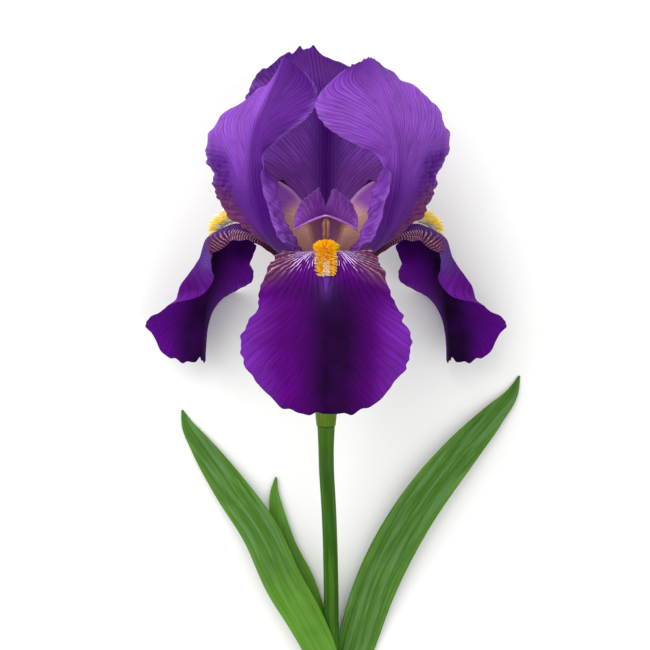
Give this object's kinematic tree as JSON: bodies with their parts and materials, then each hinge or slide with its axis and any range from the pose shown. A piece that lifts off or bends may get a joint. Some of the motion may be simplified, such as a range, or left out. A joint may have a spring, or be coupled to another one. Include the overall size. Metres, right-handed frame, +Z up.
{
  "type": "bearded iris flower",
  "caption": "Bearded iris bloom on a short cut stem: drooping falls with hairy beards, upright standards, petal-like style arms, tube and ovary, and sword leaves, laid on its back.",
  "frame": {"origin": "on the surface that the flower lies on, at the centre of its outline seen from above", "axes": "+Y from the cut end of the stem toward the top of the bloom, +Z up from the surface, and the front fall faces up"},
  "size_m": [0.1572, 0.2644, 0.1055],
  "materials": {
    "fall_velvet": "velvety deep violet petal",
    "standard_petal": "silky violet petal with darker veins",
    "style_petal": "thin lilac petal",
    "beard_hair": "soft orange and cream hairs",
    "stamen_pollen": "powdery pale tan",
    "ovary_skin": "smooth light green plant skin",
    "stem_skin": "smooth waxy green plant skin",
    "leaf_blade": "ribbed green leaf with long parallel veins"
  },
  "bodies": {
    "root": {"fall_front": "fall_velvet", "fall_left": "fall_velvet", "fall_right": "fall_velvet", "beard_front": "beard_hair", "beard_left": "beard_hair", "beard_right": "beard_hair", "standard_left": "standard_petal", "standard_right": "standard_petal", "standard_back": "standard_petal", "style": "style_petal", "stamen_front": "stamen_pollen", "stamen_left": "stamen_pollen", "stamen_right": "stamen_pollen", "ovary_and_tube": "ovary_skin", "stem": "stem_skin", "leaf_left": "leaf_blade", "leaf_right": "leaf_blade", "leaf_small": "leaf_blade"}
  },
  "joints": []
}
